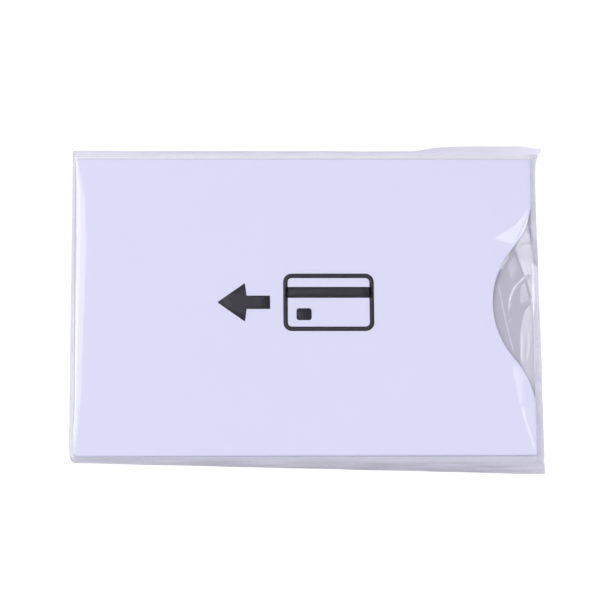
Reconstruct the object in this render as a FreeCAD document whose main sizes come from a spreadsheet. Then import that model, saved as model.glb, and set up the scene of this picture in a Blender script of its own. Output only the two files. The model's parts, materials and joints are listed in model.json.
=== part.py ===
import FreeCAD, Part
import math
import os
import re
import Sketcher

# A foil-lined paper sleeve for one bank-size card, lying on its back in a clear film bag.
# X runs along the sleeve towards its open end, Y across it, Z up from the face the bag rests on.
# The sleeve is one blank of paper laminated to foil: notched front, back, and two flaps glued
# over the back. The bag is one film folded at its closed end, welded along both long sides.

driving_sizes = {
    # Sleeve
    "sleeve_length": 91.0,
    "sleeve_width": 60.0,
    "slot_height": 0.95,             # clear height for the card
    "paper": 0.22,
    "foil": 0.04,
    "crease_radius": 0.10,           # inside of every crease
    "notch_depth": 8.15,
    "notch_bottom_radius": 17.2,
    "notch_shoulder_radius": 16.4,
    "notch_offset": 0.35,            # from the middle of the open end towards the spine
    # Flaps and glue on the back
    "seam_flap_width": 12.0,
    "seam_flap_taper": 3.0,
    "end_flap_width": 11.0,
    "end_flap_taper": 4.0,
    "flap_relief": 0.4,              # between a flap's root and the corner of the blank
    "back_edge_gap": 0.25,           # between the back panel's free edges and the creases
    "glue": 0.04,
    "glue_margin": 1.5,
    # Bag
    "film": 0.05,
    "film_gap": 0.15,                # between the film and the sleeve
    "end_margin": 0.7,               # bag beyond the sleeve's closed end
    "mouth_margin": 1.2,             # bag beyond the sleeve's open end
    "fold_land": 0.25,               # width of the pressed fold
    "upper_web": 0.9,                # film that slopes from the sleeve down to the weld
    "upper_weld": 0.6,
    "lower_web_closed": 0.9,
    "lower_web_mouth": 1.8,
    "lower_weld_closed": 0.6,
    "lower_weld_mouth": 2.1,
    "flare_rise": 0.9,               # loose corner of the upper weld beside the mouth
    "flare_length": 18.4,
    "flare_run": 4.6,
}

corner_share = 0.8                   # rounded closed corner, of the weld's width there

# Places worked out from the driving sizes.
places = {
    # Levels from the resting face up
    "flap_low": "film + film_gap",
    "flap_foil_low": "flap_low + paper",
    "glue_low": "flap_foil_low + foil",
    "back_low": "glue_low + glue",
    "back_foil_low": "back_low + paper",
    "slot_low": "back_foil_low + foil",
    "front_foil_low": "slot_low + slot_height",
    "front_low": "front_foil_low + foil",
    "front_high": "front_low + paper",
    "film_low": "front_high + film_gap",
    "film_high": "film_low + film",
    # Ends of the bag and the sleeve
    "bag_length": "sleeve_length + end_margin + mouth_margin",
    "bag_closed_x": "0 - bag_length / 2",
    "mouth_x": "bag_length / 2",
    "fold_in_x": "bag_closed_x + fold_land",
    "closed_x": "bag_closed_x + end_margin",
    "open_x": "closed_x + sleeve_length",
    # Long sides of the bag and the sleeve
    "lower_margin": "lower_web_mouth + lower_weld_mouth",
    "upper_margin": "upper_web + upper_weld + flare_rise",
    "bag_width": "sleeve_width + lower_margin + upper_margin",
    "seam_y": "lower_margin - bag_width / 2",
    "spine_y": "seam_y + sleeve_width",
    # Creases: where the flat panels end and the bends begin
    "paper_radius": "crease_radius + foil + paper",
    "foil_radius": "crease_radius + foil",
    "closed_crease_x": "closed_x + paper_radius",
    "seam_crease_y": "seam_y + paper_radius",
    "spine_crease_y": "spine_y - paper_radius",
    "crease_span_x": "open_x - closed_crease_x",
    "crease_span_y": "spine_crease_y - seam_crease_y",
    # Thumb notch: a bottom arc between two tangent shoulder arcs
    "notch_y": "seam_y + sleeve_width / 2 + notch_offset",
    "notch_reach": "notch_bottom_radius + notch_shoulder_radius",
    "notch_half_width": "sqrt(2 * notch_depth * notch_reach - notch_depth * notch_depth)",
    "notch_turn_x": "open_x - notch_depth * notch_shoulder_radius / notch_reach",
    "notch_turn_y": "notch_half_width * notch_bottom_radius / notch_reach",
    # Back panel and flaps
    "back_closed_x": "closed_x + paper + foil + back_edge_gap",
    "back_seam_y": "seam_y + paper + foil + back_edge_gap",
    "seam_flap_y": "seam_y + seam_flap_width",
    "seam_flap_reach": "seam_flap_y - seam_crease_y",
    "seam_flap_closed_x": "closed_crease_x + flap_relief",
    "seam_flap_open_x": "open_x - flap_relief",
    "end_flap_x": "closed_x + end_flap_width",
    "end_flap_reach": "end_flap_x - closed_crease_x",
    "end_flap_seam_y": "seam_crease_y + flap_relief",
    "end_flap_spine_y": "spine_crease_y - flap_relief",
    # Welds: the foot of the sloping film, and the outer edge
    "lower_foot_closed_y": "seam_y - lower_web_closed",
    "lower_foot_mouth_y": "seam_y - lower_web_mouth",
    "lower_foot_slope": "(lower_foot_mouth_y - lower_foot_closed_y) / bag_length",
    "lower_foot_land_y": "lower_foot_closed_y + fold_land * lower_foot_slope",
    "lower_edge_closed_y": "lower_foot_closed_y - lower_weld_closed",
    "lower_edge_mouth_y": "lower_foot_mouth_y - lower_weld_mouth",
    "lower_corner_radius": f"{corner_share} * lower_weld_closed",
    "upper_foot_y": "spine_y + upper_web",
    "upper_edge_y": "upper_foot_y + upper_weld",
    "upper_corner_radius": f"{corner_share} * upper_weld",
    "flare_high_y": "upper_edge_y + flare_rise",
    "flare_end_x": "mouth_x - flare_length",
    "flare_start_x": "flare_end_x - flare_run",
    "flare_radius": "(flare_run * flare_run + flare_rise * flare_rise) / (4 * flare_rise)",
}

doc = FreeCAD.newDocument("card_sleeve")
sizes = doc.addObject("Spreadsheet::Sheet", "Sizes")
for row, (alias, value) in enumerate(driving_sizes.items(), start=1):
    sizes.set(f"A{row}", str(value))
    sizes.setAlias(f"A{row}", alias)
doc.recompute()


def spell(text):
    """Write a sum of named places and sizes as an expression on the sheet's cells."""
    def cell(match):
        name = match.group()
        if name in places:
            return f"({spell(places[name])})"
        return f"Sizes.{name}" if name in driving_sizes else name
    return re.sub(r"[a-z_]+", cell, text)


def measure(text):
    return float(sizes.evalExpression(spell(text)))


def new_sketch(body, name, plane_role, level):
    """Empty sketch on an origin plane of its body, moved along the plane's normal to a level."""
    sketch = body.newObject("Sketcher::SketchObject", f"{body.Label}_{name}")
    plane = next(item for item in body.Origin.OriginFeatures if item.Role == plane_role)
    sketch.AttachmentSupport = [(plane, "")]
    sketch.MapMode = "FlatFace"
    sketch.setExpression("AttachmentOffset.Base.z", spell(level))
    return sketch


def arc_between(start, end, radius, turn):
    """Shorter arc from start to end, turn +1 counter-clockwise or -1 clockwise."""
    chord = end - start
    offset = math.sqrt(max(radius ** 2 - chord.Length ** 2 / 4, 0))
    left = FreeCAD.Vector(-chord.y, chord.x, 0).normalize()
    centre = (start + end) / 2 + left * offset * turn
    first, last = (start, end) if turn > 0 else (end, start)
    angles = [math.atan2(point.y - centre.y, point.x - centre.x) for point in (first, last)]
    circle = Part.Circle(centre, FreeCAD.Vector(0, 0, 1), radius)
    return Part.ArcOfCircle(circle, *angles)


def draw_outline(sketch, corners, arcs):
    """Closed outline with every corner pinned; arcs maps a corner to the bend that leaves it."""
    points = [FreeCAD.Vector(measure(across), measure(up), 0) for across, up in corners]
    ends = []
    for index, start in enumerate(points):
        end = points[(index + 1) % len(points)]
        if index in arcs:
            radius, turn = arcs[index]
            curve = arc_between(start, end, measure(radius), turn)
        else:
            turn = 1
            curve = Part.LineSegment(start, end)
        edge = sketch.addGeometry(curve, False)
        ends.append((edge, 1, 2) if turn > 0 else (edge, 2, 1))
    for (edge, _, last), (following, first, _) in zip(ends, ends[1:] + ends[:1]):
        sketch.addConstraint(Sketcher.Constraint("Coincident", edge, last, following, first))
    for index, (edge, first, _) in enumerate(ends):
        pin(sketch, f"across_{index}", corners[index][0], "DistanceX", edge, first)
        pin(sketch, f"up_{index}", corners[index][1], "DistanceY", edge, first)
        if index in arcs:
            pin(sketch, f"bend_{index}", arcs[index][0], "Radius", edge)


def pin(sketch, name, text, kind, *where):
    constraint = sketch.addConstraint(Sketcher.Constraint(kind, *where, measure(text)))
    sketch.renameConstraint(constraint, name)
    sketch.setExpression(f"Constraints.{name}", spell(text))


def new_body(label):
    body = doc.addObject("PartDesign::Body", label)
    body.Label = label
    return body


def ply(label, plane_role, level, depth, corners, arcs):
    """Sheet of one thickness: an outline on a plane, padded along the plane's normal."""
    body = new_body(label)
    outline = new_sketch(body, "outline", plane_role, level)
    draw_outline(outline, corners, arcs)
    pad = body.newObject("PartDesign::Pad", f"{label}_pad")
    pad.Profile = outline
    pad.setExpression("Length", spell(depth))
    return body


def plate(label, level, thickness, corners, arcs=None):
    return ply(label, "XY_Plane", level, thickness, corners, arcs or {})


def rectangle(left, right, low, high):
    return [(left, low), (right, low), (right, high), (left, high)]


def laminate(name, low, foil_low, corners, arcs=None):
    """A panel or flap of the blank: its paper and its foil, cut to one outline."""
    plate(f"{name}_paper", low, "paper", corners, arcs)
    plate(f"{name}_foil", foil_low, "foil", corners, arcs)


def channel(edge, inward, low, high, radius, thickness):
    """Section of a square-backed fold: two creases and the strip between them."""
    inner = f"{radius} - {thickness}"
    turn = -1 if inward == "-" else 1
    root = f"{edge} {inward} {radius}"
    lining = f"{edge} {inward} {thickness}"
    corners = [(root, high), (edge, f"{high} - {radius}"),
               (edge, f"{low} + {radius}"), (root, low),
               (root, f"{low} + {thickness}"), (lining, f"{low} + {radius}"),
               (lining, f"{high} - {radius}"), (root, f"{high} - {thickness}")]
    arcs = {0: (radius, turn), 2: (radius, turn), 4: (inner, -turn), 6: (inner, -turn)}
    return corners, arcs


def fold(name, plane_role, start, span, edge, inward, low):
    """A fold of the blank from the front down to a lower layer, its foil inside its paper."""
    paper_section = channel(edge, inward, low, "front_high", "paper_radius", "paper")
    ply(f"{name}_paper", plane_role, start, span, *paper_section)
    foil_section = channel(f"{edge} {inward} paper", inward, f"{low} + paper", "front_low",
                           "foil_radius", "foil")
    ply(f"{name}_foil", plane_role, start, span, *foil_section)


def frustum(body, name, kind, low, low_corners, high, high_corners):
    """Straight-sided loft from one outline up to another."""
    profiles = []
    for place, level, corners in (("foot", low, low_corners), ("top", high, high_corners)):
        sketch = new_sketch(body, f"{name}_{place}", "XY_Plane", level)
        draw_outline(sketch, corners, {})
        profiles.append(sketch)
    loft = body.newObject(kind, f"{body.Label}_{name}")
    loft.Profile = profiles[0]
    loft.Sections = [profiles[1]]
    loft.Ruled = True


def make_panels():
    notch = [("open_x", "notch_y - notch_half_width"), ("notch_turn_x", "notch_y - notch_turn_y"),
             ("notch_turn_x", "notch_y + notch_turn_y"), ("open_x", "notch_y + notch_half_width")]
    front = [("closed_crease_x", "seam_crease_y"), ("open_x", "seam_crease_y"), *notch,
             ("open_x", "spine_crease_y"), ("closed_crease_x", "spine_crease_y")]
    bends = {2: ("notch_shoulder_radius", 1), 3: ("notch_bottom_radius", -1),
             4: ("notch_shoulder_radius", 1)}
    laminate("front_panel", "front_low", "front_foil_low", front, bends)
    back = rectangle("back_closed_x", "open_x", "back_seam_y", "spine_crease_y")
    laminate("back_panel", "back_low", "back_foil_low", back)


def make_folds():
    fold("spine_fold", "YZ_Plane", "closed_crease_x", "crease_span_x", "spine_y", "-", "back_low")
    fold("seam_fold", "YZ_Plane", "closed_crease_x", "crease_span_x", "seam_y", "+", "flap_low")
    fold("end_fold", "XZ_Plane", "0 - spine_crease_y", "crease_span_y", "closed_x", "+", "flap_low")


def make_flaps():
    """Flaps glued over the back, mitred where they face each other."""
    seam = [("seam_flap_closed_x", "seam_crease_y"), ("seam_flap_open_x", "seam_crease_y"),
            ("seam_flap_open_x - seam_flap_taper", "seam_flap_y"),
            ("seam_flap_closed_x + seam_flap_reach", "seam_flap_y")]
    laminate("seam_flap", "flap_low", "flap_foil_low", seam)
    end = [("closed_crease_x", "end_flap_seam_y"), ("end_flap_x", "end_flap_seam_y + end_flap_reach"),
           ("end_flap_x", "end_flap_spine_y - end_flap_taper"), ("closed_crease_x", "end_flap_spine_y")]
    laminate("end_flap", "flap_low", "flap_foil_low", end)
    seam_strip = rectangle("seam_flap_closed_x + seam_flap_reach",
                           "seam_flap_open_x - seam_flap_taper - glue_margin",
                           "back_seam_y + glue_margin", "seam_flap_y - glue_margin")
    plate("seam_glue", "glue_low", "glue", seam_strip)
    end_strip = rectangle("back_closed_x + glue_margin", "end_flap_x - glue_margin",
                          "end_flap_seam_y + end_flap_reach",
                          "end_flap_spine_y - end_flap_taper - glue_margin")
    plate("end_glue", "glue_low", "glue", end_strip)


def make_bag_films():
    """Flat back film, and the front film drawn over the sleeve as a tray open at the mouth."""
    foot = [("fold_in_x", "lower_foot_land_y"), ("mouth_x", "lower_foot_mouth_y"),
            ("mouth_x", "upper_foot_y"), ("fold_in_x", "upper_foot_y")]
    plate("bag_back_film", "0", "film", foot)
    front = new_body("bag_front_film")
    shoulder = rectangle("closed_x - film_gap - film", "mouth_x",
                         "seam_y - film_gap - film", "spine_y + film_gap + film")
    frustum(front, "outside", "PartDesign::AdditiveLoft", "film", foot, "film_high", shoulder)
    inner_foot = [("fold_in_x + film", "lower_foot_land_y + film"), ("mouth_x", "lower_foot_mouth_y + film"),
                  ("mouth_x", "upper_foot_y - film"), ("fold_in_x + film", "upper_foot_y - film")]
    inner_shoulder = rectangle("closed_x - film_gap", "mouth_x", "seam_y - film_gap", "spine_y + film_gap")
    frustum(front, "inside", "PartDesign::SubtractiveLoft", "film", inner_foot, "film_low", inner_shoulder)


def make_bag_edges():
    """Pressed fold at the closed end and the two side welds, each two films thick."""
    fold_section = [("bag_closed_x", "film"), ("bag_closed_x + film", "0"), ("fold_in_x", "0"),
                    ("fold_in_x", "2 * film"), ("bag_closed_x + film", "2 * film")]
    ply("bag_end_fold", "XZ_Plane", "0 - upper_foot_y", "upper_foot_y - lower_foot_closed_y",
        fold_section, {0: ("film", 1), 4: ("film", 1)})
    lower = [("bag_closed_x", "lower_edge_closed_y + lower_corner_radius"),
             ("bag_closed_x + lower_corner_radius", "lower_edge_closed_y"),
             ("mouth_x", "lower_edge_mouth_y"), ("mouth_x", "lower_foot_mouth_y"),
             ("bag_closed_x", "lower_foot_closed_y")]
    plate("bag_lower_weld", "0", "2 * film", lower, {0: ("lower_corner_radius", 1)})
    upper = [("bag_closed_x", "upper_foot_y"), ("mouth_x", "upper_foot_y"), ("mouth_x", "flare_high_y"),
             ("flare_end_x", "flare_high_y"),
             ("flare_end_x - flare_run / 2", "upper_edge_y + flare_rise / 2"),
             ("flare_start_x", "upper_edge_y"), ("bag_closed_x + upper_corner_radius", "upper_edge_y"),
             ("bag_closed_x", "upper_edge_y - upper_corner_radius")]
    bends = {3: ("flare_radius", 1), 4: ("flare_radius", -1), 6: ("upper_corner_radius", 1)}
    plate("bag_upper_weld", "0", "2 * film", upper, bends)


make_panels()
make_folds()
make_flaps()
make_bag_films()
make_bag_edges()
doc.recompute()

bodies = [item for item in doc.Objects if item.isDerivedFrom("PartDesign::Body")]
failed = [item.Label for item in doc.Objects if {"Invalid", "Error"} & set(item.State)]
failed += [body.Label for body in bodies if body.Shape.isNull() or not body.Shape.isValid()]
if failed:
    raise RuntimeError("failed: " + ", ".join(failed))

os.makedirs("parts", exist_ok=True)
for body in bodies:
    body.Shape.exportStep(f"parts/{body.Label}.step")
    print(f"{body.Label}: {len(body.Shape.Solids)} solid, {body.Shape.Volume:.3f} mm3, {body.Shape.BoundBox}")
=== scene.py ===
import json
from math import cos, pi, radians, sin
import bpy
import numpy as np
from mathutils import Matrix, Vector

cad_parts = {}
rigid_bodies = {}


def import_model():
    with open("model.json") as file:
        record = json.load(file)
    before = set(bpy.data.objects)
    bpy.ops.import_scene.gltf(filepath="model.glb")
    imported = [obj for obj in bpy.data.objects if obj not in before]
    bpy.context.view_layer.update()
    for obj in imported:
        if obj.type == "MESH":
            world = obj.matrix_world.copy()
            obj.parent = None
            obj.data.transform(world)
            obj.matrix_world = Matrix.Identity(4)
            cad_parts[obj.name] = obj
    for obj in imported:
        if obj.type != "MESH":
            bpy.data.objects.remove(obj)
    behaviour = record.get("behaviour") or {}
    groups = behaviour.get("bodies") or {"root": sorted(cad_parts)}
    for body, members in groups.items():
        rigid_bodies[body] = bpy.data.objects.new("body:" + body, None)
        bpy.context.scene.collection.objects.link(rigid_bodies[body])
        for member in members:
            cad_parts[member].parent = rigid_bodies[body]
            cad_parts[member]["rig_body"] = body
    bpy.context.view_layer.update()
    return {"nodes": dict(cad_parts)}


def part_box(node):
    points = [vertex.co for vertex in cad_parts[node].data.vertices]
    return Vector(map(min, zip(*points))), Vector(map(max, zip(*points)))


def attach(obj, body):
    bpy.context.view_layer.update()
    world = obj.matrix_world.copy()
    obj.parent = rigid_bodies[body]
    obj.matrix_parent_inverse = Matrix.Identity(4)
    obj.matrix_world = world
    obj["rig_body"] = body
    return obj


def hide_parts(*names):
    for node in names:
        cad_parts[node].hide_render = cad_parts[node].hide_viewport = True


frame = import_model()
mm = 0.001
tiny = 1e-9   # keeps a division away from zero

# The sleeve's box comes from its own nodes, and every film size below is a margin round it
sleeveNodes = [name for name, node in frame["nodes"].items() if node["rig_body"] == "sleeve"]
sleeveLow = np.min([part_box(name)[0] for name in sleeveNodes], axis=0)
sleeveHigh = np.max([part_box(name)[1] for name in sleeveNodes], axis=0)
sleeveMid = (sleeveLow + sleeveHigh) / 2
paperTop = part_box("front_panel_paper")[1][2]
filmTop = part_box("bag_front_film")[1][2]
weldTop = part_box("bag_lower_weld")[1][2]
print("frame: sleeve", np.round((sleeveHigh - sleeveLow) / mm, 2), "mm, film top", round(filmTop / mm, 2))


# Small tools for meshes

def smooth(t):
    # three t squared less two t cubed, with t held between 0 and 1
    t = np.clip(t, 0, 1)
    return t * t * (3 - 2 * t)


def readBeside(pairs, y):
    # a table of values, each beside its y in mm, with straight lines between them
    values, places = np.array(pairs).T
    return np.interp(y / mm, places, values)


def stretches(*parts):
    # evenly spaced values over several stretches, each given as its end and its number of steps
    values = [np.array([parts[0][0]])]
    for (start, _), (end, steps) in zip(parts[:-1], parts[1:]):
        values.append(np.linspace(start, end, steps + 1)[1:])
    return np.concatenate(values)


def gridFaces(rows, cols):
    # one quad for each cell of a grid whose points are numbered row by row
    first = (np.arange(rows - 1)[:, None] * cols + np.arange(cols - 1)[None, :]).ravel()
    return np.stack([first, first + 1, first + cols + 1, first + cols], axis=1)


def newPiece(name, points, faces, material, body):
    # a smooth-shaded mesh of one material, carried by its body
    mesh = bpy.data.meshes.new(name)
    mesh.from_pydata(points.reshape(-1, 3).tolist(), [], [list(face) for face in faces])
    mesh.polygons.foreach_set("use_smooth", np.ones(len(mesh.polygons), bool))
    mesh.update()
    piece = bpy.data.objects.new(name, mesh)
    bpy.context.scene.collection.objects.link(piece)
    mesh.materials.append(material)
    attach(piece, body)
    return piece


def thicken(piece, thickness):
    # the sheet's drawn face is its outer one, and the wall goes inwards from it
    wall = piece.modifiers.new("wall", "SOLIDIFY")
    wall.thickness = thickness
    wall.offset = -1


def storeHazeAndShade(piece, hazeAndShade):
    # how much of the dark layer shows at each point, 0 for clear: painted shade, and on the back film an
    # even haze
    layer = piece.data.attributes.new("hazeAndShade", "FLOAT", "POINT")
    layer.data.foreach_set("value", np.ascontiguousarray(hazeAndShade, dtype=np.float32).ravel())


# Small tools for materials

noiseRange = (0.3, 0.7)   # most of a noise's values lie between these


def addNode(tree, kind, **inputs):
    # a node with those values on its sockets; an underscore stands for a space in a socket's name
    node = tree.nodes.new(kind)
    for name, value in inputs.items():
        node.inputs[name.replace("_", " ")].default_value = value
    return node


def addMath(tree, operation, first, second):
    # one operation on two values, each a number or another node's output
    node = tree.nodes.new("ShaderNodeMath")
    node.operation = operation
    for socket, value in zip(node.inputs, (first, second)):
        if isinstance(value, (int, float)):
            socket.default_value = value
        else:
            tree.links.new(value, socket)
    return node.outputs[0]


def mixColour(tree, factor, first, second):
    # the first colour where the factor is 0, the second where it is 1
    mix = tree.nodes.new("ShaderNodeMix")
    mix.data_type = "RGBA"
    tree.links.new(factor, mix.inputs["Factor"])
    mix.inputs["A"].default_value = (*first, 1)
    mix.inputs["B"].default_value = (*second, 1)
    return mix.outputs["Result"]


def mapRange(tree, value, low, high, toLow, toHigh):
    # low to high becomes toLow to toHigh in a straight line, and stays there beyond both ends
    node = addNode(tree, "ShaderNodeMapRange", From_Min=low, From_Max=high, To_Min=toLow, To_Max=toHigh)
    tree.links.new(value, node.inputs["Value"])
    return node.outputs["Result"]


def addBump(tree, height, strength, distance):
    bump = addNode(tree, "ShaderNodeBump", Strength=strength, Distance=distance)
    tree.links.new(height, bump.inputs["Height"])
    return bump.outputs["Normal"]


def newMaterial(name):
    # an empty tree, with its output's surface socket and the place in the object's own coordinates
    material = bpy.data.materials.new(name)
    material.use_nodes = True
    tree = material.node_tree
    tree.nodes.clear()
    output = tree.nodes.new("ShaderNodeOutputMaterial")
    place = tree.nodes.new("ShaderNodeTexCoord").outputs["Object"]
    return material, tree, output.inputs["Surface"], place


def newGroup(name, numbers, outputs):
    # a node group that takes a place and those numbers, and puts out values
    group = bpy.data.node_groups.new(name, "ShaderNodeTree")
    group.interface.new_socket("Place", in_out="INPUT", socket_type="NodeSocketVector")
    for label in numbers:
        group.interface.new_socket(label, in_out="INPUT", socket_type="NodeSocketFloat")
    for label in outputs:
        group.interface.new_socket(label, in_out="OUTPUT", socket_type="NodeSocketFloat")
    return group, group.nodes.new("NodeGroupInput").outputs, group.nodes.new("NodeGroupOutput").inputs


def placeGroup(tree, group, place, **inputs):
    node = tree.nodes.new("ShaderNodeGroup")
    node.node_tree = group
    tree.links.new(place, node.inputs["Place"])
    for name, value in inputs.items():
        node.inputs[name].default_value = value
    return node.outputs


# Grain shared by the paper, the foil, the glue and the print: fine speckle, which a Stretch below 1
# draws out along X, and slow clouds
grainNoise = {
    "fine": {"Detail": 4.0, "Roughness": 0.6},
    "clouds": {"Scale": 70.0, "Detail": 2.0, "Roughness": 0.5},
}


def makeGrainGroup():
    group, given, made = newGroup("surfaceGrain", ["Scale", "Stretch"], ["Grain", "Clouds"])
    links = group.links
    squeeze = addNode(group, "ShaderNodeCombineXYZ", Y=1.0, Z=1.0)
    links.new(given["Stretch"], squeeze.inputs["X"])
    drawn = group.nodes.new("ShaderNodeVectorMath")
    drawn.operation = "MULTIPLY"
    links.new(given["Place"], drawn.inputs[0])
    links.new(squeeze.outputs[0], drawn.inputs[1])
    fine = addNode(group, "ShaderNodeTexNoise", **grainNoise["fine"])
    links.new(drawn.outputs[0], fine.inputs["Vector"])
    links.new(given["Scale"], fine.inputs["Scale"])
    clouds = addNode(group, "ShaderNodeTexNoise", **grainNoise["clouds"])
    links.new(given["Place"], clouds.inputs["Vector"])
    links.new(fine.outputs["Fac"], made["Grain"])
    links.new(clouds.outputs["Fac"], made["Clouds"])
    return group


# Streaks shared by the clear and the welded film: long faint draw lines along X, and soft dents
streakNoise = {
    "drawn": (0.06, 1.0, 1.0),   # the lines change this much more slowly along X
    "lines": {"Detail": 2.0, "Roughness": 0.5},
    "dents": {"Scale": 160.0, "Detail": 2.0, "Roughness": 0.45},
}


def makeStreakGroup():
    group, given, made = newGroup("filmStreaks", ["Scale"], ["Streak", "Dents"])
    links = group.links
    drawn = group.nodes.new("ShaderNodeVectorMath")
    drawn.operation = "MULTIPLY"
    drawn.inputs[1].default_value = streakNoise["drawn"]
    links.new(given["Place"], drawn.inputs[0])
    lines = addNode(group, "ShaderNodeTexNoise", **streakNoise["lines"])
    links.new(drawn.outputs[0], lines.inputs["Vector"])
    links.new(given["Scale"], lines.inputs["Scale"])
    dents = addNode(group, "ShaderNodeTexNoise", **streakNoise["dents"])
    links.new(given["Place"], dents.inputs["Vector"])
    links.new(lines.outputs["Fac"], made["Streak"])
    links.new(dents.outputs["Fac"], made["Dents"])
    return group


surfaceGrain = makeGrainGroup()
filmStreaks = makeStreakGroup()


# Paper, foil, glue and ink: two tones mixed by the grain or by its clouds, a roughness that follows the
# grain and, where there is a relief, its strength and its depth

# Coated cool-white paper: nearly even colour, a satin face and a fibre grain that just breaks the gloss
paperLook = {
    "tones": ((0.74, 0.732, 0.91), (0.755, 0.747, 0.925)), "mixedBy": "Clouds",
    "roughness": (0.46, 0.58), "ior": 1.45, "metallic": 0.0,
    "grainScale": 2600.0, "stretch": 1.0, "relief": (0.12, 0.02 * mm),
}

# Matt rolled foil: a little metal shine, with fine rolling lines along X
foilLook = {
    "tones": ((0.467, 0.454, 0.53), (0.533, 0.518, 0.595)), "mixedBy": "Grain",
    "roughness": (0.40, 0.52), "ior": 1.5, "metallic": 0.2,
    "grainScale": 5000.0, "stretch": 0.05, "relief": (0.25, 0.01 * mm),
}

# Dried adhesive: a thin cloudy layer, yellower where it is thick
glueLook = {
    "tones": ((0.86, 0.85, 0.80), (0.78, 0.76, 0.68)), "mixedBy": "Grain",
    "roughness": (0.25, 0.5), "ior": 1.47, "metallic": 0.0,
    "grainScale": 900.0, "stretch": 1.0, "relief": None,
}

# Printing ink: near black, with the paper's grain showing through its gloss
inkLook = {
    "tones": ((0.014, 0.012, 0.019), (0.022, 0.019, 0.028)), "mixedBy": "Grain",
    "roughness": (0.5, 0.65), "ior": 1.45, "metallic": 0.0,
    "grainScale": 2600.0, "stretch": 1.0, "relief": None,
}


def makeSurface(name, look):
    material, tree, surface, place = newMaterial(name)
    grain = placeGroup(tree, surfaceGrain, place, Scale=look["grainScale"], Stretch=look["stretch"])
    shader = addNode(tree, "ShaderNodeBsdfPrincipled", IOR=look["ior"], Metallic=look["metallic"])
    colour = mixColour(tree, grain[look["mixedBy"]], *look["tones"])
    tree.links.new(colour, shader.inputs["Base Color"])
    roughness = mapRange(tree, grain["Grain"], *noiseRange, *look["roughness"])
    tree.links.new(roughness, shader.inputs["Roughness"])
    if look["relief"]:
        tree.links.new(addBump(tree, grain["Grain"], *look["relief"]), shader.inputs["Normal"])
    tree.links.new(shader.outputs[0], surface)
    return material


# Film: what lies behind it shows through; a dark layer of painted shade, standing in for the shadows seen
# through the film, covers it where its attribute says, and both faces mirror the lights, more at a glancing
# angle
filmShine = {
    "hazeAndShadeIor": 1.49,
    "mirrorColour": (0.96, 0.96, 0.97, 1),
    "facingBlend": 0.5,
    "glancePower": 5.0,
    "glossGlancing": 0.35,
}
filmLook = {
    "tint": (0.995, 0.994, 1.0),
    "streakScale": 900.0, "streakRange": (0.9, 1.1),
    "dents": (0.2, 0.05 * mm),               # strength and depth
    # the dark layer's two tones, mixed by the streaks: painted shade
    "hazeAndShadeTones": ((0.27, 0.26, 0.42), (0.33, 0.32, 0.50)),
    "hazeAndShadeRoughness": 0.3, "glossRoughness": 0.12, "glossFacing": 0.024,
}
weldLook = {
    "tint": (0.965, 0.96, 1.0),
    "streakScale": 1600.0, "streakRange": (0.75, 1.2),
    "dents": (0.35, 0.1 * mm),
    # the welds' dark layer: painted shade in two tones, mixed by the streaks
    "hazeAndShadeTones": ((0.26, 0.25, 0.28), (0.34, 0.33, 0.37)),
    "hazeAndShadeRoughness": 0.35, "glossRoughness": 0.2, "glossFacing": 0.024,
}


def makeFilm(name, look):
    # attribute times streaks mixes clear with the painted shade layer; the facing value to a power mixes in
    # the mirror
    material, tree, surface, place = newMaterial(name)
    streaks = placeGroup(tree, filmStreaks, place, Scale=look["streakScale"])
    hazeAndShade = tree.nodes.new("ShaderNodeAttribute")
    hazeAndShade.attribute_name = "hazeAndShade"
    streaky = mapRange(tree, streaks["Streak"], *noiseRange, *look["streakRange"])
    cover = addMath(tree, "MULTIPLY", hazeAndShade.outputs["Fac"], streaky)
    normal = addBump(tree, streaks["Dents"], *look["dents"])

    hazeAndShadeLayer = addNode(tree, "ShaderNodeBsdfPrincipled", IOR=filmShine["hazeAndShadeIor"],
                    Roughness=look["hazeAndShadeRoughness"])
    tree.links.new(mixColour(tree, streaks["Streak"], *look["hazeAndShadeTones"]), hazeAndShadeLayer.inputs["Base Color"])
    tree.links.new(normal, hazeAndShadeLayer.inputs["Normal"])
    clear = addNode(tree, "ShaderNodeBsdfTransparent", Color=(*look["tint"], 1))
    body = tree.nodes.new("ShaderNodeMixShader")
    tree.links.new(cover, body.inputs["Fac"])
    tree.links.new(clear.outputs[0], body.inputs[1])
    tree.links.new(hazeAndShadeLayer.outputs[0], body.inputs[2])

    mirror = addNode(tree, "ShaderNodeBsdfPrincipled", Metallic=1.0, Roughness=look["glossRoughness"],
                     Base_Color=filmShine["mirrorColour"])
    tree.links.new(normal, mirror.inputs["Normal"])
    facing = addNode(tree, "ShaderNodeLayerWeight", Blend=filmShine["facingBlend"])
    tree.links.new(normal, facing.inputs["Normal"])
    glance = addMath(tree, "POWER", facing.outputs["Facing"], filmShine["glancePower"])
    gloss = mapRange(tree, glance, 0.0, 1.0, look["glossFacing"], filmShine["glossGlancing"])
    shine = tree.nodes.new("ShaderNodeMixShader")
    tree.links.new(gloss, shine.inputs["Fac"])
    tree.links.new(body.outputs[0], shine.inputs[1])
    tree.links.new(mirror.outputs[0], shine.inputs[2])
    tree.links.new(shine.outputs[0], surface)
    return material


sleeveMaterials = {   # by the last word of a node's name
    "paper": makeSurface("paperWhite", paperLook),
    "foil": makeSurface("foilSilver", foilLook),
    "glue": makeSurface("glueClear", glueLook),
}
inkBlack = makeSurface("inkBlack", inkLook)
filmClear = makeFilm("filmClear", filmLook)
filmWelded = makeFilm("filmWelded", weldLook)

for name in sleeveNodes:
    slots = frame["nodes"][name].data.materials
    slots.clear()
    slots.append(sleeveMaterials[name.split("_")[-1]])
print("materials: paper, foil and glue on", len(sleeveNodes), "nodes")


# The bag's outline, seen from above

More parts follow.
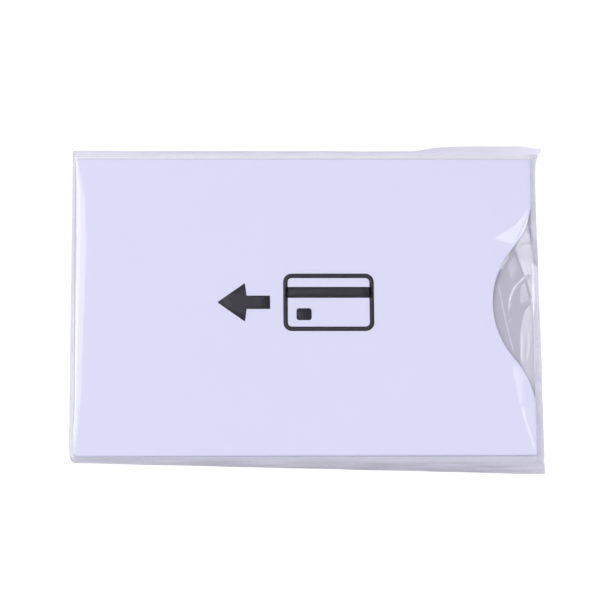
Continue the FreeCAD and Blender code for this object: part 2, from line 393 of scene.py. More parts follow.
outline = {
    "closedMargin": 0.80 * mm,             # film past the sleeve's closed end
    "closedLean": 0.0055,                  # how far that end leans, per unit of width
    "mouthMargin": 1.35 * mm,              # film past the sleeve's open end
    "mouthLean": 0.0085,
    "lowerMarginClosed": 1.05 * mm,        # film below the sleeve's seam edge, at each end
    "lowerMarginMouth": 3.50 * mm,
    "lowerFootClosed": 0.32 * mm,          # where the front film comes down to the weld
    "lowerFootMouth": 1.30 * mm,
    "upperMargin": 2.0 * mm,               # film above the sleeve's spine
    "upperFoot": 1.35 * mm,
    "shoulder": 0.15 * mm,                 # room between the sleeve's edge and the film's shoulder
    "flareHeight": 0.95 * mm,              # the loose corner beside the mouth: how high it stands out
    "flareStart": 22.2 * mm,               # where along X that begins, and how long it takes
    "flareRun": 4.4 * mm,
    "flareDroop": 0.7 * mm,                # how far it falls again
    "droopStart": 0.92,                    # where, and over how much, as shares of the sleeve's end
    "droopRun": 0.12,
    "flareTip": 2.4 * mm,                  # how far its tip sticks out of the mouth
    "flareTipReach": 1.9 * mm,             # how slowly the tip grows
    "flareBlunt": 0.35 * mm,               # how much of the point is cut off
    "flareLift": 0.7 * mm,                 # how far it stands up
    "cornerAlong": 1.2 * mm,               # rounding of the lower closed corner, along X and along Y
    "cornerAcross": 3.0 * mm,
    "cornerStill": 0.5,                    # share of that corner where nothing is drawn in
    "pucker": 0.05 * mm,                   # small waves along the welds
    "puckerRuns": (2.3 * mm, 3.7 * mm),
    "puckerPhase": 1.0,
    "puckerShares": (0.4, 0.3, 0.6, 0.3),  # of the lower edge and foot, and the upper foot and edge
    "foldWidth": 0.30 * mm,                # pressed fold at the closed end
}

# The lines that run the bag's length, counted from the lower edge
lowerEdgeRow, lowerFootRow, lowerShoulderRow, upperShoulderRow, upperFootRow, upperEdgeRow = range(6)


def closedEdge(y):
    # a straight line that leans with y
    return sleeveLow[0] - outline["closedMargin"] + outline["closedLean"] * (y - sleeveMid[1])


def mouthEdge(y):
    # a straight line that leans the other way, with a blunt tip that grows exponentially into the
    # loose corner
    tipTop = sleeveHigh[1] + outline["upperMargin"] + outline["flareHeight"]
    blunt = np.minimum(y, tipTop - outline["flareDroop"] - outline["flareBlunt"])
    tip = outline["flareTip"] * np.exp((blunt - tipTop) / outline["flareTipReach"])
    return sleeveHigh[0] + outline["mouthMargin"] - outline["mouthLean"] * (y - sleeveMid[1]) + tip


def outlineRows(x):
    # the six lines that run the bag's length: edge, foot and shoulder below, shoulder, foot and edge above;
    # the lower margins widen evenly, the loose corner rises and droops smoothly, and two sines make waves
    share = np.clip((x - sleeveLow[0]) / (sleeveHigh[0] - sleeveLow[0]), 0, 1)
    lower = outline["lowerMarginClosed"] * (1 - share) + outline["lowerMarginMouth"] * share
    lowerFoot = outline["lowerFootClosed"] * (1 - share) + outline["lowerFootMouth"] * share
    firstRun, secondRun = outline["puckerRuns"]
    wave = outline["pucker"] * (np.sin(x / firstRun) + np.sin(x / secondRun + outline["puckerPhase"]))
    lowerEdge, lowerBase, upperBase, upperEdge = (part * wave for part in outline["puckerShares"])
    flare = outline["flareHeight"] * smooth((x - outline["flareStart"]) / outline["flareRun"])
    droopStart, droopRun = outline["droopStart"] * sleeveHigh[0], outline["droopRun"] * sleeveHigh[0]
    droop = outline["flareDroop"] * smooth((x - droopStart) / droopRun)
    flat = np.zeros_like(x)
    return np.stack([
        sleeveLow[1] - lower + lowerEdge,
        sleeveLow[1] - lowerFoot + lowerBase * share,
        sleeveLow[1] - outline["shoulder"] + flat,
        sleeveHigh[1] + outline["shoulder"] + flat,
        sleeveHigh[1] + outline["upperFoot"] + upperBase,
        sleeveHigh[1] + outline["upperMargin"] + flare - droop + upperEdge])


def roundCorner(x, y):
    # points near the lower closed corner draw in so that the square corner becomes a quarter of an ellipse:
    # each is scaled by its larger share over its radius, fully at the edge and not at all half way in
    along, across, still = outline["cornerAlong"], outline["cornerAcross"], outline["cornerStill"]
    centreX = closedEdge(sleeveLow[1]) + along
    centreY = sleeveLow[1] - outline["lowerMarginClosed"] + across
    a = np.clip((centreX - x) / along, 0, None)
    b = np.clip((centreY - y) / across, 0, None)
    larger = np.maximum(a, b)
    radius = np.maximum(np.hypot(a, b), tiny)
    draw = smooth((larger - still) / (1 - still)) * (1 - np.where(larger > 0, larger / radius, 1))
    corner = (a > 0) & (b > 0)
    return (np.where(corner, centreX - a * (1 - draw) * along, x),
            np.where(corner, centreY - b * (1 - draw) * across, y))


def bagPlan(along, across):
    # along runs from 0 at the closed end to 1 at the mouth; across counts the six outline rows, 0 to 5,
    # and each band between two rows is filled in straight lines
    startX = sleeveLow[0] - outline["closedMargin"]
    endX = sleeveHigh[0] + outline["mouthMargin"]
    rows = outlineRows(startX + along * (endX - startX))
    band = np.clip(np.floor(across).astype(int), lowerEdgeRow, upperEdgeRow - 1)
    part = (across - band)[:, None]
    y = rows[band] * (1 - part) + rows[band + 1] * part
    x = closedEdge(y) + along[None, :] * (mouthEdge(y) - closedEdge(y))
    return roundCorner(x, y)


# Front film: flat over the sleeve, sloping to the welds, slack over the closed end, crinkled over the notch

frontFilm = {
    "thickness": 0.05 * mm,
    "reach": 0.997,                      # share of the bag's length that the lip at the mouth reaches
    "wallRun": 0.45 * mm,                # how far the film takes to come down at the closed end
    "bend": 1.6,                         # roundness of the shoulders
    # how far the slack roll reaches in from the closed end, beside y, in mm
    "slackReach": [(0.3, -28.8), (0.75, -26.0), (1.6, -18.2), (1.75, -8.2), (2.05, 1.8), (2.2, 11.9),
                   (1.9, 22.1), (0.82, 28.3), (0.3, 30.5)],
    "slackSlope": 0.06,                  # slope where the roll ends
    "slackBend": 0.05 * mm,              # how tightly it bends at the end, and how slowly it falls behind
    "slackFade": 12.0 * mm,
    "wave": 0.03 * mm,                   # slow waves between the long sides
    "waveRuns": (6.1 * mm, 7.7 * mm),    # along X and along Y
    "waveBend": 0.4,                     # how much they wander
    "waveBendRun": 5.0 * mm,
    "waveEdge": 3.0 * mm,                # over which they fade at each long side
    "paintedShadeReach": 0.4 * mm,               # over which the painted shade grows
    "paintedShadeLipReach": 0.16 * mm,
    "paintedShadeLower": 0.16,                   # painted shade of the slopes, darker below where the sleeve's shadow falls
    "paintedShadeUpper": 0.06,
    # and the painted shade of the lip, beside y in mm
    "paintedShadeLip": [(0.2, -20.0), (0.17, -14.0), (0.14, -9.0), (0.14, -3.0), (0.165, 1.0), (0.16, 8.0),
                (0.3, 9.2), (0.22, 13.0), (0.21, 19.0), (0.17, 24.0)],
    "paintedShadeCurl": 0.05,                    # more painted shade where the lip curls up
    "paintedShadeClosed": 0.035,                 # and the painted shade of the closed end
}

# The lip at the mouth curls up to the right of a crooked valley as far as a ridge, and past y 0 it folds
# down again there; both lines are given as their x and y in mm, from the lower end up, and the slopes
# beside y
lipCurl = {
    "rise": [(0.295, -3.0), (0.36, 3.0), (0.36, 10.0), (0.34, 12.0), (0.28, 13.5)],
    "fall": [(0.0, -1.0), (0.55, 1.5)],
    "valley": [(45.3, -17.0), (44.3, -15.2), (43.4, -13.4), (42.8, -12.0), (42.4, -10.5), (42.2, -9.0),
               (42.4, -4.7), (43.5, -0.6), (44.7, 1.2), (44.0, 4.8), (43.2, 7.4), (42.4, 10.0),
               (41.5, 12.1), (43.0, 15.4), (44.2, 18.0), (45.2, 20.8)],
    "ridge": [(45.05, -2.0), (45.6, 0.5), (45.6, 8.3), (45.15, 9.2), (45.05, 10.9), (44.95, 14.0),
              (44.6, 17.0)],
}

# Facets round the notch: the corners in mm, clockwise, and the slope that rises from each side
facets = {
    "patchTip": [[(37.6, 14.4), (43.2, 17.9), (42.9, 15.3), (41.6, 12.3), (39.3, 13.1)],
                 [0.25, 3.0, 3.0, 1.5, 0.8]],
    "patchTop": [[(41.0, 14.5), (42.0, 17.2), (45.1, 20.9), (44.1, 18.0), (42.9, 15.3), (41.6, 12.3)],
                 [1.0, 0.25, 3.0, 3.0, 3.0, 1.0]],
    "inner": [[(39.9, 9.2), (41.6, 12.2), (42.3, 10.1), (42.6, 7.9), (40.9, 5.3)],
              [3.0, 1.5, 1.5, 1.0, 0.19]],
    "middle": [[(42.5, 4.4), (43.9, 5.6), (44.6, 2.4), (44.5, 0.6), (42.4, 0.9)],
               [1.0, 1.5, 1.5, 0.5, 0.22]],
    "lower": [[(40.4, -11.3), (42.0, -11.5), (43.0, -13.1), (42.9, -19.1), (41.8, -19.5)],
              [1.5, 1.5, 1.5, 1.0, 0.2]],
    "band": [[(44.4, 7.6), (45.6, 9.0), (45.8, 1.0), (44.7, 0.9), (44.5, 4.0)],
             [1.0, 1.5, 1.0, 0.05, 0.05]],
}

# Creases: the crest's points, the width of its left flank and of its right one, and its height, all in mm
creases = {
    "arc": [[(40.3, -0.9), (40.4, -0.4), (40.75, 1.7), (41.2, 3.2), (42.0, 4.55), (42.8, 5.3), (44.6, 7.1)],
            0.55, 0.3, 0.27],
    "strandInner": [[(45.2, 1.6), (44.2, 0.2), (43.7, -1.1), (43.3, -2.7), (43.1, -4.7), (42.9, -7.3),
                     (42.8, -11.7)], 0.6, 1.2, 0.08],
    "strandOuter": [[(45.5, 1.2), (44.9, -0.7), (44.6, -2.3), (44.4, -4.3), (44.1, -8.3), (43.4, -11.3)],
                    0.6, 1.2, 0.08],
    "faintLine": [[(38.4, 5.8), (38.9, 2.8), (39.5, -0.7), (39.8, -2.3), (40.4, -5.3), (41.1, -8.4),
                   (41.5, -9.9)], 0.45, 1.4, 0.11],
    "smallTick": [[(40.1, -3.1), (41.0, -1.8)], 0.4, 0.3, 0.2],
    "rimGlint": [[(38.95, 7.57), (39.47, 8.48), (40.05, 9.5), (40.68, 10.52), (41.2, 11.34)],
                 0.6, 0.3, 0.27],
    "lowerStreak": [[(42.75, -18.5), (43.0, -20.3), (43.4, -22.3), (44.0, -24.3), (44.6, -26.3),
                     (45.3, -29.0)], 0.75, 1.6, 0.19],
    "cornerGlint": [[(42.5, 28.4), (43.6, 29.4)], 0.4, 0.6, 0.10],
}

# Painted shade lines, dark stripes in the film beside the crinkles: the same values, with the amount of
# shade
paintedShadeLines = {
    "besidePanel": [[(41.4, 12.0), (42.5, 9.6), (43.3, 7.0), (44.0, 4.8), (44.6, 2.0)], 0.35, 0.35, 0.08],
    "alongRidge": [[(44.5, 17.0), (45.0, 14.0), (45.4, 11.9), (45.6, 8.4)], 0.7, 1.6, 0.33],
    "besideMouth": [[(45.4, 13.0), (45.5, 18.0), (45.6, 23.0), (45.6, 31.5)], 0.5, 1.5, 0.19],
}
lineFade = 0.12   # share of a crease's or a painted shade line's length over which each end fades


def curl(x, y):
    # rises evenly with the distance right of the valley, and falls evenly past the ridge
    valley, ridge = (readBeside(lipCurl[key], y) * mm for key in ("valley", "ridge"))
    rise, fall = (readBeside(lipCurl[key], y) for key in ("rise", "fall"))
    up = rise * np.clip(np.minimum(x, ridge) - valley, 0, None)
    return np.clip(up - fall * np.clip(x - ridge, 0, None), 0, None)


def facet(x, y, corners, slopes):
    # a low roof over a convex outline: the least of its sides' distances, each times that side's slope
    route = np.array(corners) * mm
    after = np.roll(route, -1, axis=0)
    step = (after - route) / np.hypot(*(after - route).T)[:, None]
    inside = [slope * ((x - px) * dy - (y - py) * dx)
              for (px, py), (dx, dy), slope in zip(route, step, slopes)]
    return np.clip(np.min(inside, axis=0), 0, None)


def crest(x, y, points, leftWidth, rightWidth, height):
    # the height falls off in a straight line with the distance to the nearest stretch of the crest, over the
    # left or the right width, and fades smoothly at both ends
    route = np.array(points) * mm
    best = np.full(x.shape, np.inf)
    side = np.zeros(x.shape)
    gone = np.zeros(x.shape)
    lengths = np.hypot(*(route[1:] - route[:-1]).T)
    total = lengths.sum()
    for k, length in enumerate(lengths):
        step = (route[k + 1] - route[k]) / length
        reach = np.clip((x - route[k, 0]) * step[0] + (y - route[k, 1]) * step[1], 0, length)
        offX = x - route[k, 0] - reach * step[0]
        offY = y - route[k, 1] - reach * step[1]
        away = np.hypot(offX, offY)
        nearer = away < best
        best = np.where(nearer, away, best)
        side = np.where(nearer, np.sign(offX), side)
        gone = np.where(nearer, lengths[:k].sum() + reach, gone)
    width = np.where(side < 0, leftWidth, rightWidth) * mm
    ends = smooth(gone / (lineFade * total)) * smooth((total - gone) / (lineFade * total))
    return height * ends * np.clip(1 - best / width, 0, 1)


def closedSlack(x, y):
    # a roll along the closed end: its height grows with the logarithm of the distance from the end, then
    # falls slowly; how far it reaches is read beside y
    run = readBeside(frontFilm["slackReach"], y) * mm
    into = np.clip(x - sleeveLow[0], 0, None)
    gain = frontFilm["slackSlope"] * (frontFilm["slackBend"] + run)
    rise = gain * np.log(1 + np.minimum(into, run) / frontFilm["slackBend"])
    return rise * (1 - smooth((into - run) / frontFilm["slackFade"]))


def filmRelief(x, y):
    # the roll at the closed end, slow waves made of a wandering sine along X times a sine along Y, and at
    # the mouth the curled lip, the highest facet and the highest crease
    edge = frontFilm["waveEdge"]
    inner = smooth((y - sleeveLow[1]) / edge) * smooth((sleeveHigh[1] - y) / edge)
    alongRun, acrossRun = frontFilm["waveRuns"]
    wander = frontFilm["waveBend"] * np.sin(y / frontFilm["waveBendRun"])
    wave = frontFilm["wave"] * (1 + np.sin(x / alongRun + wander) * np.sin(y / acrossRun))
    roofs = np.max([facet(x, y, *values) for values in facets.values()], axis=0)
    crests = np.max([crest(x, y, *values) for values in creases.values()], axis=0) * mm
    return closedSlack(x, y) + inner * wave + curl(x, y) + roofs + crests


def filmPaintedShade(x, y):
    # painted shade for the shadows seen through the film grows smoothly outside each side of the sleeve, by
    # that side's own amount, which at the lip is read beside y and grows with the curl; the greatest of
    # these and of the shade lines counts
    reach, lipReach = frontFilm["paintedShadeReach"], frontFilm["paintedShadeLipReach"]
    lower = frontFilm["paintedShadeLower"] * smooth((sleeveLow[1] - y) / reach)
    upper = frontFilm["paintedShadeUpper"] * smooth((y - sleeveHigh[1]) / reach)
    lip = readBeside(frontFilm["paintedShadeLip"], y) + frontFilm["paintedShadeCurl"] * smooth(curl(x, y) / reach)
    lip = lip * smooth((x - sleeveHigh[0] + lipReach) / lipReach)
    closed = frontFilm["paintedShadeClosed"] * smooth((sleeveLow[0] - x) / reach)
    paintedLines = [crest(x, y, *values) for values in paintedShadeLines.values()]
    return np.max([lower, upper, lip, closed, *paintedLines], axis=0)


# Grid lines, closest at the closed end and round the notch: along the bag, across the flat top from shoulder
# to shoulder, and across one slope
filmAlong = stretches((0.0, 0), (0.02, 16), (0.06, 12), (0.86, 18), (1.0, 96))
topRows = lowerShoulderRow + stretches((0.0, 0), (0.04, 8), (0.25, 34), (0.84, 230), (0.96, 14), (1.0, 6))
webRows = stretches((0.0, 0), (1.0, 10))


def makeFrontFilm():
    # from the weld's height to the film's by one less a power of what is left of the slope, at both long
    # sides and at the closed end, with the relief added in the same measure
    along = filmAlong[1:] * frontFilm["reach"]
    across = np.concatenate([lowerFootRow + webRows[:-1], topRows, upperShoulderRow + webRows[1:]])
    x, y = bagPlan(along, across)
    web = np.clip(np.minimum(across - lowerFootRow, upperFootRow - across), 0, 1)
    rise = 1 - (1 - web[:, None]) ** frontFilm["bend"]
    wall = np.clip((x - closedEdge(y) - outline["foldWidth"] / 2) / frontFilm["wallRun"], 0, 1)
    rise = rise * (1 - (1 - wall) ** frontFilm["bend"])
    z = weldTop + (filmTop - weldTop) * rise + filmRelief(x, y) * rise
    points = np.stack([x, y, z], axis=-1)
    piece = newPiece("frontFilm", points, gridFaces(*x.shape), filmClear, "bag")
    # the painted shade goes onto the film as its attribute
    storeHazeAndShade(piece, filmPaintedShade(x, y))
    thicken(piece, frontFilm["thickness"])
    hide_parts("bag_front_film")
    return piece


# Back film: flat under the sleeve, from weld to weld

backFilm = {
    "thickness": 0.05 * mm,
    "ripple": 0.02 * mm,
    "rippleRuns": (5.3 * mm, 6.7 * mm),   # along X and along Y
    "rippleSkew": 11.0 * mm,              # how slowly it shifts along X
    "hazeAndShade": 0.02,
    # grid lines, as the ends of their stretches and their numbers of steps
    "along": [(0.0, 0), (0.02, 8), (0.88, 50), (1.0, 16)],
    "across": [(1.0, 0), (2.0, 3), (3.0, 40), (4.0, 3)],
}


def makeBackFilm():
    # the film's thickness, and a ripple of one sine along X times one along Y that shifts with x
    x, y = bagPlan(stretches(*backFilm["along"]), stretches(*backFilm["across"]))
    alongRun, acrossRun = backFilm["rippleRuns"]
    ripple = 1 + np.sin(x / alongRun) * np.sin(y / acrossRun + x / backFilm["rippleSkew"])
    z = backFilm["thickness"] + backFilm["ripple"] * ripple
    points = np.stack([x, y, z], axis=-1)
    piece = newPiece("backFilm", points, gridFaces(*x.shape), filmClear, "bag")
    storeHazeAndShade(piece, np.full(x.shape, backFilm["hazeAndShade"]))
    thicken(piece, backFilm["thickness"])
    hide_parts("bag_back_film")
    return piece


# Side welds: the two films pressed into one flat strip along each long side

welds = {
    "thickness": 0.1 * mm,
    "lowerPaintedShade": (0.29, 0.21),            # painted shade at the edge and foot, darker on the lower weld in the sleeve's shadow
    "upperPaintedShade": (0.14, 0.08),
    # the share of it at places from the closed end, 0, to the mouth, 1
    "paintedShadeAlong": ((0.0, 0.25, 0.6, 0.85, 1.0), (0.7, 0.95, 1.0, 1.0, 0.7)),
    "rippleRun": 3.1 * mm,
    "rippleBend": 2.0,                    # how much the ripple wanders
    "rippleBendRun": 9.0 * mm,
    "rows": 8,
}


def makeWeld(name, node, firstRow, shadeAtEdge, shadeAtFoot, lift):
    # the weld's height, plus the lift of the loose corner and a wandering sine, both growing from the foot
    # to the edge
    part = np.linspace(0, 1, welds["rows"])
    x, y = bagPlan(filmAlong, firstRow + part)
    outward = (1 - part if firstRow == lowerEdgeRow else part)[:, None]
    raised = lift * outward * smooth((x - outline["flareStart"]) / (sleeveHigh[0] - outline["flareStart"]))
    wander = welds["rippleBend"] * np.sin(x / welds["rippleBendRun"])
    ripple = outline["pucker"] * outward * (1 + np.sin(x / welds["rippleRun"] + wander))
    z = weldTop + raised + ripple
    points = np.stack([x, y, z], axis=-1)
    piece = newPiece(name, points, gridFaces(*x.shape), filmWelded, "bag")
    # painted shade, from the foot's amount to the edge's, times its share along the bag
    hazeAndShade = (shadeAtFoot + (shadeAtEdge - shadeAtFoot) * outward) * np.interp(filmAlong, *welds["paintedShadeAlong"])
    storeHazeAndShade(piece, hazeAndShade)
    thicken(piece, welds["thickness"])
    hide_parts(node)
    return piece


# Pressed fold: a flattened tube carried along the closed end

closedFold = {
    "rows": [(0.0, 0), (1.0, 4), (2.0, 4), (2.1, 20), (3.0, 40), (4.0, 4), (5.0, 3)],
    "ringCount": 12,
}


def makeClosedFold():
    # at each row an ellipse, as wide as the fold and as high as the weld, starting on the closed edge;
    # one face closes each end of the tube
    x, y = bagPlan(np.array([0.0]), stretches(*closedFold["rows"]))
    turn = np.linspace(0, 2 * pi, closedFold["ringCount"], endpoint=False)
    halfWidth, halfHeight = outline["foldWidth"] / 2, weldTop / 2
    ringX = x + halfWidth - halfWidth * np.cos(turn)[None, :]
    ringY = y + 0 * ringX
    ringZ = halfHeight + halfHeight * np.sin(turn)[None, :] + 0 * ringX
    points = np.stack([ringX, ringY, ringZ], axis=-1)
    rowCount, ringCount = ringX.shape
    rowStart = np.arange(rowCount - 1)[:, None] * ringCount
    first = rowStart + np.arange(ringCount)[None, :]
    after = rowStart + (np.arange(ringCount)[None, :] + 1) % ringCount
    faces = np.stack([first, first + ringCount, after + ringCount, after], axis=-1).reshape(-1, 4).tolist()
    faces.append(list(range(ringCount)))
    faces.append(list(range(rowCount * ringCount - 1, (rowCount - 1) * ringCount - 1, -1)))
    piece = newPiece("closedFold", points, faces, filmClear, "bag")
    # the closed end's painted shade
    storeHazeAndShade(piece, np.full(ringX.shape, frontFilm["paintedShadeClosed"]))
    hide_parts("bag_end_fold")
    return piece


frontFilmPiece = makeFrontFilm()
backFilmPiece = makeBackFilm()
makeWeld("lowerWeld", "bag_lower_weld", lowerEdgeRow, *welds["lowerPaintedShade"], 0.0)
makeWeld("upperWeld", "bag_upper_weld", upperFootRow, *welds["upperPaintedShade"], outline["flareLift"])
makeClosedFold()
print("film: front", len(frontFilmPiece.data.polygons), "faces")


# Print on the front panel: a plain arrow towards the closed end, and a plain card with its stripe and chip

printing = {
    "centre": (-1.7 * mm, 1.4 * mm),
    "depth": 0.015 * mm,
    "cardCentre": 6.2 * mm,
    "cardSize": (18.0 * mm, 11.6 * mm),
    "cardCorner": 1.7 * mm,
    "cardCornerPoints": 10,
    "cardLine": 0.9 * mm,
    "stripeRise": 2.0 * mm,
    "stripeHeight": 2.2 * mm,
    "stripeGrid": (3, 9),
    "chipPlace": (-4.9 * mm, -2.4 * mm),
    "chipSize": (3.0 * mm, 2.4 * mm),
    "chipCorner": 0.5 * mm,
    "chipCornerPoints": 6,
    "arrowCentre": -10.6 * mm,
    "arrowLength": 10.4 * mm,
    "arrowHead": 5.4 * mm,
    "arrowTip": 0.05 * mm,        # half widths at the tip, at the head's back and along the shaft
    "arrowHalf": 3.9 * mm,
    "shaftHalf": 1.35 * mm,
    "arrowStep": 0.35 * mm,       # length over which the head steps in to the shaft
    "shaftLine": 0.8,             # where a line crosses the shaft, as a share of the length
    "arrowRows": 5,
}


def roundedBox(width, height, corner, steps):
    # once round a box with rounded corners: a quarter circle at each corner, joined by its straight sides
    turn = np.linspace(0, pi / 2, steps)
    quarter = np.stack([np.cos(turn), np.sin(turn)], axis=1) * corner
    corners = []
    for k, (sx, sy) in enumerate([(1, 1), (-1, 1), (-1, -1), (1, -1)]):
        c, s = cos(k * pi / 2), sin(k * pi / 2)
        turned = quarter @ np.array([[c, s], [-s, c]])
        corners.append(turned + [sx * (width / 2 - corner), sy * (height / 2 - corner)])
    return np.concatenate(corners)


def inkPiece(name, flat, faces):
    # the flat points lifted to the ink's depth above the paper, and moved to the print's centre
    place = np.array([*printing["centre"], 0])
    points = np.concatenate([flat, np.full((len(flat), 1), paperTop + printing["depth"])], axis=1) + place
    piece = newPiece(name, points, faces, inkBlack, "sleeve")
    thicken(piece, printing["depth"])
    return piece


def makeCardOutline():
    # the ring between a rounded box and the same box drawn in by the line's width
    width, height = printing["cardSize"]
    corner, steps, line = printing["cardCorner"], printing["cardCornerPoints"], printing["cardLine"]
    outer = roundedBox(width, height, corner, steps)
    inner = roundedBox(width - 2 * line, height - 2 * line, corner - line, steps)
    count = len(outer)
    first = np.arange(count)
    after = (first + 1) % count
    faces = np.stack([first, after, after + count, first + count], axis=1)
    return inkPiece("printCard", np.concatenate([outer, inner]) + [printing["cardCentre"], 0], faces)


def makeStripe():
    # a plain bar right across the card's outline
    halfWidth = printing["cardSize"][0] / 2 - printing["cardLine"] / 2
    rows, cols = printing["stripeGrid"]
    u, v = np.meshgrid(np.linspace(-1, 1, cols), np.linspace(-0.5, 0.5, rows))
    flat = np.stack([printing["cardCentre"] + u * halfWidth,
                     printing["stripeRise"] + v * printing["stripeHeight"]], axis=-1)
    return inkPiece("printStripe", flat.reshape(-1, 2), gridFaces(rows, cols))


def makeChip():
    # a rounded box filled in one face
    place = np.array([printing["cardCentre"] + printing["chipPlace"][0], printing["chipPlace"][1]])
    ring = roundedBox(*printing["chipSize"], printing["chipCorner"], printing["chipCornerPoints"]) + place
    return inkPiece("printChip", ring, [np.arange(len(ring))])


def makeArrow():
    # along the arrow from its tip, the half width grows evenly to the head's back, steps in to the shaft
    # and stays; across, it runs from one side to the other
    length, head, rows = printing["arrowLength"], printing["arrowHead"], printing["arrowRows"]
    neck = head + printing["arrowStep"]
    reach = np.array([0.0, head / 2, head, neck, printing["shaftLine"] * length, length])
    half = np.interp(reach, [0, head, neck, length],
                     [printing[key] for key in ("arrowTip", "arrowHalf", "shaftHalf", "shaftHalf")])
    v = np.linspace(-1, 1, rows)[:, None]
    along = printing["arrowCentre"] - length / 2 + reach[None, :] + 0 * v
    flat = np.stack([along, v * half[None, :]], axis=-1)
    return inkPiece("printArrow", flat.reshape(-1, 2), gridFaces(rows, len(reach)))


printPieces = [makeCardOutline(), makeStripe(), makeChip(), makeArrow()]
print("print:", len(printPieces), "pieces of ink on the front panel")


# Stage: a pale floor, a light tent with a dark opening above, soft boxes on the left and behind that only
# the gloss mirrors, and three lamps that only light the colours

stage = {
    "floorSize": 6.0,
    "floorDrop": 0.05 * mm,
    "floorColour": (0.9, 0.9, 0.9, 1),
    "floorRoughness": 0.9,
    "floorLift": (0.2, 0.5),             # added brightness of the floor, near and far
    "floorSpan": (0.12, 1.2),            # how far from the object it grows
    "tentStrength": 0.62,
    "openingStrength": 0.12,
    "openingAxis": (0.04, 0.2, 0.98),
    "openingEdge": (15, 21),             # degrees from that axis, inner and outer
    "filmBounces": 24,                   # layers of film that one ray of light may pass
    "lampColour": (0.97, 0.965, 1.0),
    "lamps": {                           # direction, distance, width, height, energy, and what it lights
        "softBoxLeft": [(-0.45, 0.27, 0.85), 0.8, 0.46, 0.22, 1.48, "gloss"],
        "softBoxSide": [(-0.56, 0.0, 0.83), 0.8, 0.34, 0.22, 0.58, "gloss"],
        "softBoxEdge": [(-0.60, 0.30, 0.74), 0.8, 0.34, 0.08, 0.22, "gloss"],
        "softBoxHigh": [(-0.29, 0.105, 0.95), 0.8, 0.45, 0.154, 0.585, "gloss"],
        "softBoxLow": [(-0.55, 0.55, 0.62), 0.8, 0.50, 0.225, 2.1, "gloss"],
        "softBoxBack": [(-0.21, 0.56, 0.8), 0.8, 0.34, 0.29, 0.79, "gloss"],
        "topLight": [(0.05, -0.1, 0.99), 1.0, 0.9, 0.9, 5.4, "colour"],
        "frontLight": [(0.3, -0.7, 0.62), 1.0, 0.5, 0.5, 1.75, "colour"],
        "backLight": [(-0.1, 0.8, 0.6), 1.0, 0.5, 0.5, 0.75, "colour"],
    },
}


def makeFloor():
    # a flat square; it looks brighter the farther it lies from the object, but that light falls on nothing
    half = stage["floorSize"] / 2
    lines = np.linspace(-half, half, 3)
    u, v = np.meshgrid(lines, lines)
    points = np.stack([u, v, np.full(u.shape, -stage["floorDrop"])], axis=-1)
    mesh = bpy.data.meshes.new("floor")
    mesh.from_pydata(points.reshape(-1, 3).tolist(), [], gridFaces(*u.shape).tolist())
    floor = bpy.data.objects.new("floor", mesh)
    bpy.context.scene.collection.objects.link(floor)
    material, tree, surface, place = newMaterial("floorWhite")
    shader = addNode(tree, "ShaderNodeBsdfPrincipled", Roughness=stage["floorRoughness"],
                     Base_Color=stage["floorColour"], Emission_Color=(1, 1, 1, 1))
    ray = tree.nodes.new("ShaderNodeLightPath").outputs
    seen = addMath(tree, "MAXIMUM", ray["Is Camera Ray"], ray["Is Glossy Ray"])
    seen = addMath(tree, "MAXIMUM", seen, ray["Is Transmission Ray"])
    away = addNode(tree, "ShaderNodeVectorMath")
    away.operation = "LENGTH"
    tree.links.new(place, away.inputs[0])
    lift = mapRange(tree, away.outputs["Value"], *stage["floorSpan"], *stage["floorLift"])
    tree.links.new(addMath(tree, "MULTIPLY", seen, lift), shader.inputs["Emission Strength"])
    tree.links.new(shader.outputs[0], surface)
    mesh.materials.append(material)


def makeWorld():
    # white all round, falling to dark within a cone about the opening's axis
    world = bpy.data.worlds.new("lightTent")
    bpy.context.scene.world = world
    world.use_nodes = True
    tree = world.node_tree
    tree.nodes.clear()
    direction = tree.nodes.new("ShaderNodeTexCoord").outputs["Generated"]
    toAxis = tree.nodes.new("ShaderNodeVectorMath")
    toAxis.operation = "DOT_PRODUCT"
    tree.links.new(direction, toAxis.inputs[0])
    toAxis.inputs[1].default_value = Vector(stage["openingAxis"]).normalized()
    inner, outer = (cos(radians(angle)) for angle in stage["openingEdge"])
    strength = mapRange(tree, toAxis.outputs["Value"], outer, inner,
                        stage["tentStrength"], stage["openingStrength"])
    background = tree.nodes.new("ShaderNodeBackground")
    tree.links.new(strength, background.inputs["Strength"])
    output = tree.nodes.new("ShaderNodeOutputWorld")
    tree.links.new(background.outputs[0], output.inputs["Surface"])


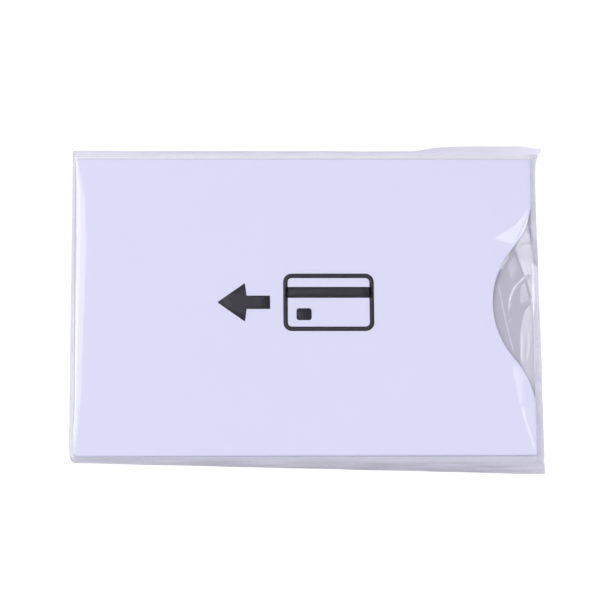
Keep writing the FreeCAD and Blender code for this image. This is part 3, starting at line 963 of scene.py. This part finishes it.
def makeLamp(name, direction, distance, width, height, energy, lights):
    # a rectangle at that distance from the origin, facing it
    lamp = bpy.data.lights.new(name, "AREA")
    lamp.shape = "RECTANGLE"
    lamp.size = width
    lamp.size_y = height
    lamp.energy = energy
    lamp.color = stage["lampColour"]
    holder = bpy.data.objects.new(name, lamp)
    bpy.context.scene.collection.objects.link(holder)
    way = Vector(direction).normalized()
    holder.location = way * distance
    holder.rotation_mode = "QUATERNION"
    holder.rotation_quaternion = way.to_track_quat("Z", "Y")
    holder.visible_glossy = lights == "gloss"
    holder.visible_diffuse = lights == "colour"


# Camera: turned and tilted as in the photograph, with the focal length in its pixels

view = {
    "azimuth": -10.882, "elevation": 78.213, "roll": 10.641,
    "distance": 0.55, "target": (-1.103 * mm, 2.264 * mm, 0.0),
    "focal": 2767.6, "imageWidth": 600.0, "sensor": 36.0, "clipStart": 0.01,
}


def makeCamera():
    # back points from the target to the camera by azimuth and elevation; right and up then turn by the roll
    azimuth, elevation, roll = (radians(view[key]) for key in ("azimuth", "elevation", "roll"))
    back = Vector((sin(azimuth) * cos(elevation), -cos(azimuth) * cos(elevation), sin(elevation)))
    right = Vector((cos(azimuth), sin(azimuth), 0))
    up = back.cross(right)
    rolledRight = cos(roll) * right + sin(roll) * up
    rolledUp = cos(roll) * up - sin(roll) * right
    camera = bpy.data.cameras.new("camera")
    camera.sensor_width = view["sensor"]
    camera.lens = view["focal"] * view["sensor"] / view["imageWidth"]
    camera.clip_start = view["clipStart"]
    holder = bpy.data.objects.new("camera", camera)
    bpy.context.scene.collection.objects.link(holder)
    place = Vector(view["target"]) + back * view["distance"]
    turned = Matrix((rolledRight, rolledUp, back)).transposed().to_4x4()
    holder.matrix_world = Matrix.Translation(place) @ turned
    bpy.context.scene.camera = holder


makeFloor()
makeWorld()
for lampName, settings in stage["lamps"].items():
    makeLamp(lampName, *settings)
makeCamera()
bpy.context.scene.view_settings.view_transform = "Standard"
bpy.context.scene.cycles.transparent_max_bounces = stage["filmBounces"]
print("stage: floor, tent,", len(stage["lamps"]), "lamps and camera")
